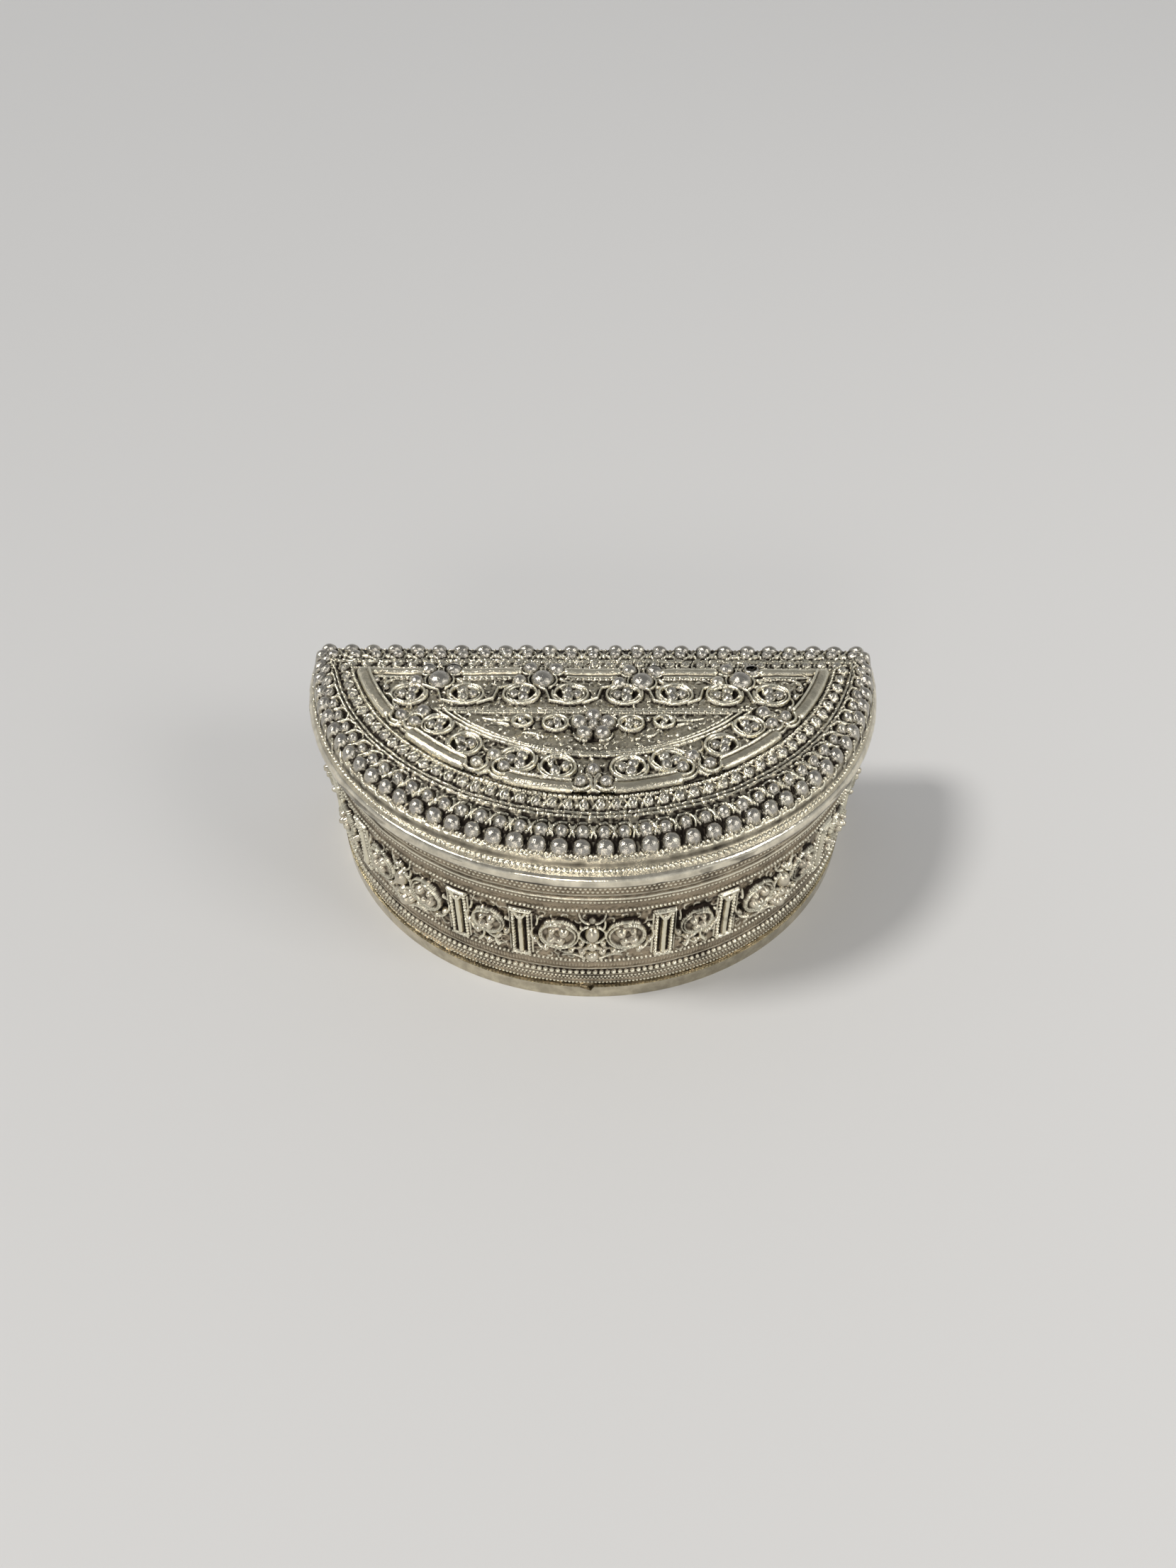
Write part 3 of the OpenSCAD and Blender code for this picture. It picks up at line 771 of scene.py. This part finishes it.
def body_scroll(R, s, z, r, hand):
    """A swelling roundel: thin double rings, a three-lobed comma inside and leaves below."""
    R.dome(s, z, r * 1.02, 0.75, 0.35)
    R.stroke(spiral(s, z, r, 90 - 40 * hand, 1.1, hand, inner=0.86), 0.2, 1.25, 0.0, taper=(0.7, 1.0))
    R.stroke(arc_pts(s, z, r * 0.8, 90 + 30 * hand, 90 + hand * 370, 28), 0.15, 1.1, 0.0)
    R.stroke(spiral(s, z, r * 0.55, 90 + 70 * hand, 0.75, -hand, inner=0.5), 0.5, 1.5, 0.5, taper=(0.45, 1.0))
    R.dome(s + hand * r * 0.32, z - r * 0.24, r * 0.29, 1.75, 0.8)
    R.dome(s - hand * r * 0.26, z + r * 0.3, r * 0.31, 1.7, 0.8)
    R.dome(s - hand * r * 0.12, z - r * 0.4, r * 0.22, 1.5, 0.7)
    R.dome(s + hand * r * 0.3, z + r * 0.34, r * 0.22, 1.5, 0.7)
    for a in (205, 240, 300, 335):
        x, y = s + r * 1.2 * math.cos(math.radians(a)), z + r * 1.28 * math.sin(math.radians(a))
        leaf(R, x, y, a + 75 * hand, 2.2, 0.4, 1.05, 0.2, 1.1 * hand)
        R.dome(x, y, 0.6, 1.15, 0.7)
    for a in (30, 150):
        x, y = s + r * 1.2 * math.cos(math.radians(a)), z + r * 1.05 * math.sin(math.radians(a))
        leaf(R, x, y, a - 70, 1.8, 0.26, 0.7, 0.0)


def double_panel(R, s, spread):
    for side in (-1, 1):
        body_scroll(R, s + side * spread, 15.9, 3.2, side)
        leaf(R, s + side * 0.5, 18.8, 90 - side * 62, 2.6, 0.26, 0.8, 0.0, side)
        R.stroke(arc_pts(s, 16.2, 1.95, 90 - side * 20, 90 - side * 165, 14), 0.18, 0.85, 0.0)
        leaf(R, s + side * 0.4, 13.6, 270 + side * 50, 3.0, 0.5, 1.15, 0.5, side * 0.9)
        leaf(R, s + side * 1.2, 10.5, 90 - side * 70, 3.4, 0.42, 1.0, 0.3, -side * 0.8)
        R.dome(s + side * 1.5, 12.2, 0.75, 1.3, 0.7)
    R.dome(s, 16.4, 1.2, 1.75, 0.8, math.pi / 2, 1.35)
    R.dome(s, 13.4, 0.9, 1.35, 0.7)
    R.dome(s, 11.0, 1.2, 1.55, 0.8)
    R.dome(s, 19.4, 0.6, 0.9, 0.5)


def single_panel(R, s, hand):
    body_scroll(R, s, 16.2, 2.75, hand)
    for side in (-1, 1):
        leaf(R, s - side * 1.6, 10.9, 90 - side * 30, 2.6, 0.34, 0.9, 0.0, side * 0.8)
        leaf(R, s, 10.6, 90 + side * 50, 2.0, 0.3, 0.8, 0.0, side * 0.6)
    R.dome(s, 11.0, 0.6, 1.0, 0.6)


def build_wall(name, s0, s1, to_xy, cell, panels, seed, flip, length):
    """One stretch of the wall, s0 to s1 along its outline, with the ornament that falls in it."""
    cols, rows = int((s1 - s0) / cell) + 1, int((WALL_TOP - WALL_LOW) / cell) + 1
    S, Zg = np.meshgrid(np.linspace(s0, s1, cols), np.linspace(WALL_LOW, WALL_TOP, rows))
    R = Relief(S, Zg)
    body_rows(R)
    panels(R)
    band = np.abs(R.y - BAND_Z) < 5.8
    fill_leaves(R, int((s1 - s0) * 1.6), np.abs(R.y - BAND_Z) < 5.2, seed)
    uneven = 0.05 * noise2(R.x, R.y, 3.5, seed) + 0.03 * noise2(R.x, R.y, 1.0, seed + 1)
    R.rise = R.rise + 0.1 * noise2(R.x, R.y, 0.45, seed + 2) * (R.rise < 0.1) * band
    R.rise = R.rise + 0.04 * noise2(R.x, R.y * 2, 0.5, seed + 3) * (R.rise < 0.1) * ~band
    ends = smooth((length / 2 - np.abs(R.x)) / 0.5)
    swell = 1 + 0.35 * smooth((np.abs(R.x) - 40) / 12)
    out = np.clip(R.rise * swell + uneven - 0.05, -0.35, 2.1) * ends
    x, y = to_xy(R.x, out)
    at = shade_attrs(R, cell, 1.2, 1.0)
    stains = smooth((noise2(R.x, R.y * 1.6, 4.5, seed + 5) - 0.3) / 0.5).reshape(R.shape)
    low = smooth((8.4 - R.y) / 1.0).reshape(R.shape)
    at["shading_and_tarnish"] = np.clip(at["shading_and_tarnish"] + 0.25 * stains * (1 - 0.4 * low), 0, 1)
    # the inside is the reverse of the relief, one sheet's thickness in, with the lip on top
    step = int(round(0.46 / cell))
    down = np.append(np.arange(rows - 1, 0, -step), 0)
    picked = np.ix_(down, np.append(np.arange(0, cols - 1, step), cols - 1))
    inner = box_blur(out.reshape(R.shape), step)[picked] - SHEET
    middle = (s0 + s1) / 2
    # it runs a little past its neighbours and into the tray, so no seam shows
    pick_s = middle + (S[picked] - middle) * (1 + 0.24 / (s1 - s0))
    pick_z = Zg[picked].copy()
    pick_z[-1] -= 0.1
    lip_s, lip_z = np.vstack([pick_s[:1], pick_s]), np.vstack([pick_z[:1], pick_z])
    lip_out = np.vstack([out.reshape(R.shape)[picked][:1], inner])
    xi, yi = to_xy(lip_s.ravel(), lip_out.ravel())
    plain = {key: np.zeros(lip_s.size) for key in at}
    lining = np.stack([xi, yi, lip_z.ravel()], 1)
    inside = mesh(
        name + "_inside", lining, grid_faces(*lip_s.shape), plain, inner_silver, flip=flip
    )
    xyz = np.stack([x, y, R.y], 1)
    face = mesh(name, xyz, grid_faces(rows, cols), at, wall_silver, flip=flip)
    return face, inside


def bow_xy(s, out):
    a = s / ROW_R
    r = ROW_R + out
    return r * np.sin(a), ARC_Y - r * np.cos(a)


def back_xy(s, out):
    return s, BACK - WALL_IN + out


def bow_panels(R):
    deg = math.radians(1) * ROW_R
    for k in (-1, 0, 1):
        double_panel(R, k * PANEL_PITCH * deg, 6.4 * deg)
    for k in (-1.5, -0.5, 0.5, 1.5):
        single_panel(R, k * PANEL_PITCH * deg, 1 if k > 0 else -1)
        for side in (-1, 1):
            pilaster(R, (k * PANEL_PITCH + side * 6.5) * deg)
    for side in (-1, 1):
        body_scroll(R, side * 77.5 * deg, 15.9, 3.2, side)
        R.dome(side * 84.5 * deg, 16.6, 1.3, 1.4, 0.8)
        R.dome(side * 84.5 * deg, 11.2, 1.15, 1.25, 0.8)


def back_panels(R):
    pitch = ROW_R * math.radians(PANEL_PITCH) * 0.98
    for k in (-1, 0, 1):
        double_panel(R, k * pitch, 5.1)
    for k in (-0.5, 0.5):
        single_panel(R, k * pitch, 1 if k > 0 else -1)
        for side in (-1, 1):
            pilaster(R, k * pitch + side * 5.0)


end_turn = math.asin((BACK - WALL_IN - ARC_Y) / ROW_R)
bow_len = ROW_R * (math.pi + 2 * end_turn)
back_len = 2 * ROW_R * math.cos(end_turn)
bow_half, back_half = bow_len / 2, back_len / 2
bow_left, bow_left_in = build_wall(
    "wall_left", -bow_half, 0, bow_xy, 0.155, bow_panels, 31, False, bow_len
)
bow_right, bow_right_in = build_wall(
    "wall_right", 0, bow_half, bow_xy, 0.155, bow_panels, 31, False, bow_len
)
back, back_in = build_wall(
    "wall_back", -back_half, back_half, back_xy, 0.25, back_panels, 41, True, back_len
)
border = build_lid_border()
field = build_lid_field()
rim = build_rim()

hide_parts("body_wall")
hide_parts("lid_top")
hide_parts("lid_rim")
for piece in (bow_left, bow_right, back, bow_left_in, bow_right_in, back_in):
    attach(piece, "box")
for piece in (border, field, rim):
    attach(piece, "lid")

for name in ("base_tray", "body_collar"):
    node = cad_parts[name]
    node.data.materials.clear()
    node.data.materials.append(tray_silver if name == "base_tray" else inner_silver)

# Floor, light and camera
floor_mat, _, floor_bsdf = new_material("floor")
floor_bsdf.inputs["Base Color"].default_value = (0.72, 0.715, 0.705, 1)
floor_bsdf.inputs["Roughness"].default_value = 0.6
bpy.ops.mesh.primitive_plane_add(size=6, location=(0, 0, 0))
floor = bpy.context.object
floor.name = "floor"
floor.data.materials.append(floor_mat)

world = bpy.data.worlds.new("studio")
bpy.context.scene.world = world
world.use_nodes = True
wn = world.node_tree
wn.nodes["Background"].inputs["Color"].default_value = (0.97, 0.98, 1.0, 1)
# pale walls all round and a dimmer ceiling
where = wn.nodes.new("ShaderNodeTexCoord")
split = wn.nodes.new("ShaderNodeSeparateXYZ")
level = wn.nodes.new("ShaderNodeMapRange")
wn.links.new(where.outputs["Generated"], split.inputs[0])
wn.links.new(split.outputs["Z"], level.inputs["Value"])
level.inputs["From Min"].default_value = 0.1
level.inputs["From Max"].default_value = 0.6
level.inputs["To Min"].default_value = 0.66
level.inputs["To Max"].default_value = 0.3
wn.links.new(level.outputs[0], wn.nodes["Background"].inputs["Strength"])


def area(name, loc, size, power, color):
    data = bpy.data.lights.new(name, "AREA")
    data.shape = "RECTANGLE"
    data.size, data.size_y = size
    data.energy = power
    data.color = color
    o = bpy.data.objects.new(name, data)
    bpy.context.scene.collection.objects.link(o)
    # it faces the origin
    z = np.array(loc) / np.linalg.norm(loc)
    x = np.cross((0, 0, 1.0), z)
    x = x / np.linalg.norm(x)
    y = np.cross(z, x)
    o.matrix_world = Matrix([*zip(x, y, z, loc), (0, 0, 0, 1)])


key_data = bpy.data.lights.new("key", "SUN")
key_data.energy = 1.5
key_data.angle = math.radians(13)
key_data.color = (1.0, 0.98, 0.95)
key = bpy.data.objects.new("key", key_data)
key.rotation_euler = (math.radians(3), math.radians(-36), 0)
bpy.context.scene.collection.objects.link(key)
area("fill", (0.6, -0.3, 0.5), (0.3, 0.3), 1.5, (1.0, 0.98, 0.95))
area("front", (-0.15, -0.8, 0.35), (0.36, 0.14), 1.1, (1.0, 0.95, 0.88))

# The camera fitted to the outlines in the photo, in half-widths of the lid from the middle of its back
FOCAL_PX, PHOTO_H = 1534, 2212
cam_data = bpy.data.cameras.new("camera")
cam_data.sensor_width = 36
cam_data.lens = FOCAL_PX / PHOTO_H * cam_data.sensor_width
cam_data.clip_start = 0.01
cam = bpy.data.objects.new("camera", cam_data)
bpy.context.scene.collection.objects.link(cam)
bpy.context.scene.camera = cam
tilt = Matrix.Rotation(math.radians(90 - 45.1), 4, "X")
roll = Matrix.Rotation(math.radians(0.26), 4, "Z")
half = ARC_R * MM
place = (-0.016 * half, -3.107 * half + BACK * MM, 3.090 * half)
cam.matrix_world = Matrix.Translation(place) @ tilt @ roll

bpy.context.scene.view_settings.view_transform = "Standard"
